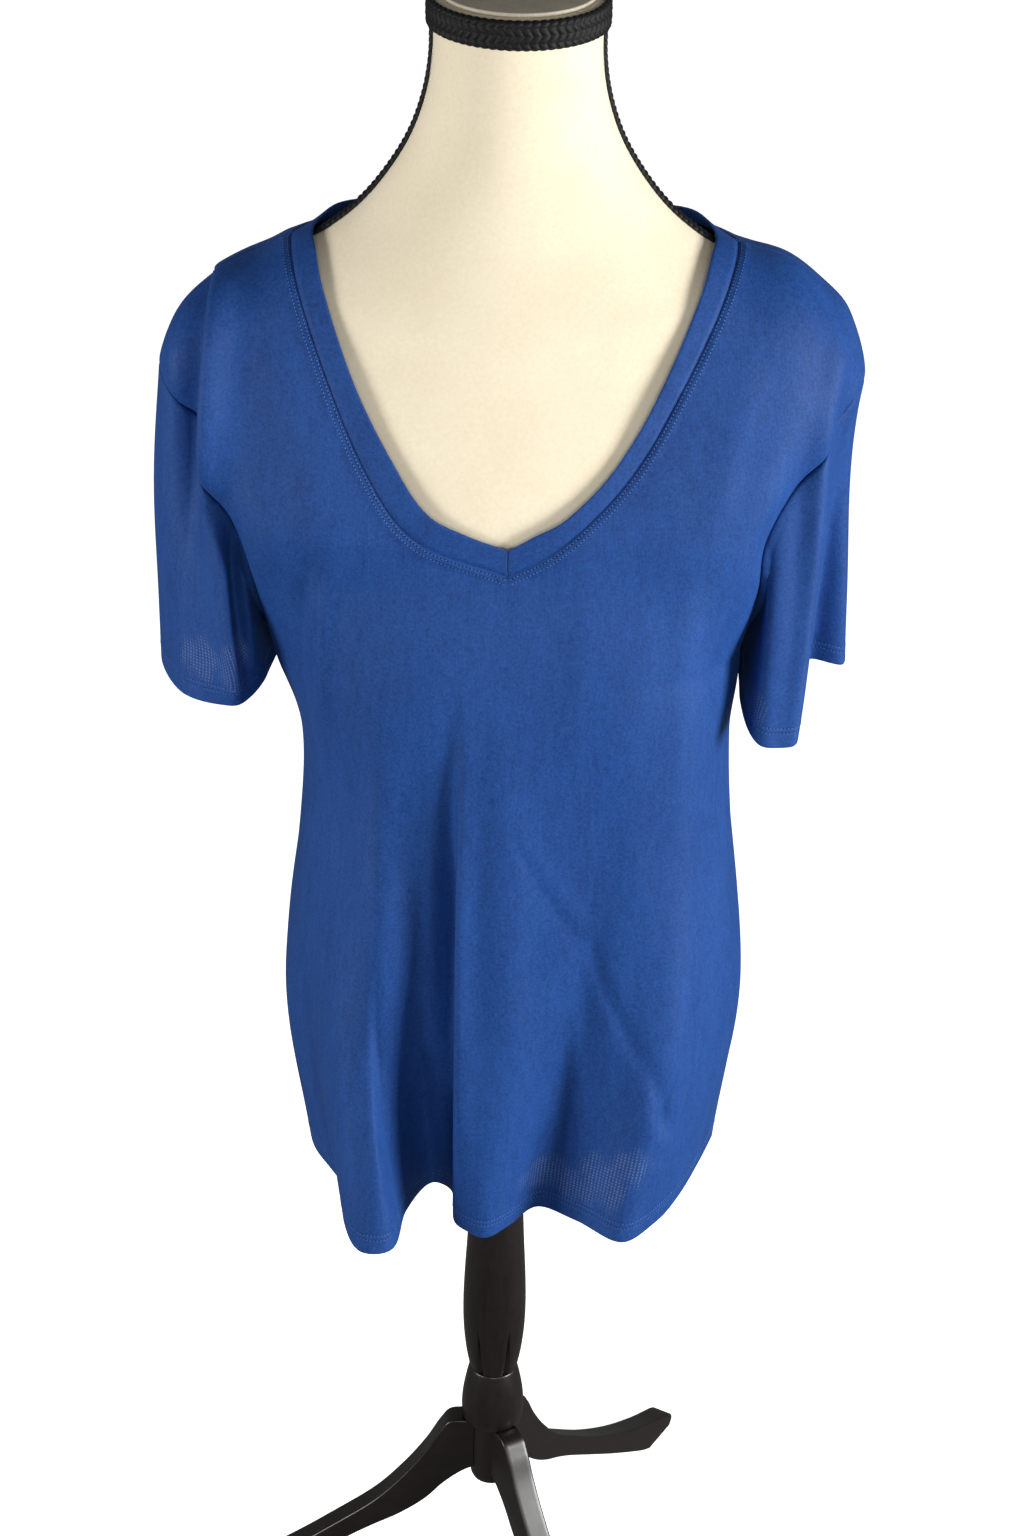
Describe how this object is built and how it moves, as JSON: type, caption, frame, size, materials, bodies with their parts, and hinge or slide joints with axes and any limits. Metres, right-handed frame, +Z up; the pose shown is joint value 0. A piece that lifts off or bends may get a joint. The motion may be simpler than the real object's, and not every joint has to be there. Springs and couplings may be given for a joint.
{
  "type": "v-neck t-shirt on dress form",
  "caption": "Short-sleeved V-neck t-shirt in a fine plain knit, draped on a limbless dress form that stands on a turned pole with splayed legs.",
  "frame": {"origin": "on the floor, under the centre of the whole object's box", "axes": "+Z up; the shirt's front faces -Y; +X is the wearer's left"},
  "size_m": [0.5114, 0.5026, 1.299],
  "materials": {
    "knit": "royal blue fine knit with a slight sheen",
    "form_jersey": "cream jersey",
    "braid": "black woven braid",
    "neck_disc": "matt",
    "base_board": "plain",
    "black_wood": "satin black"
  },
  "bodies": {
    "root": {"front": "knit", "back": "knit", "sleeve_left": "knit", "sleeve_right": "knit", "neckband": "knit", "form_torso": "form_jersey", "form_base": "base_board", "neck_trim": "braid", "neck_disc": "neck_disc", "side_trim_left": "braid", "side_trim_right": "braid", "pole": "black_wood", "pole_collar": "black_wood", "hub": "black_wood", "leg_1": "black_wood", "leg_2": "black_wood", "leg_3": "black_wood"}
  },
  "joints": []
}
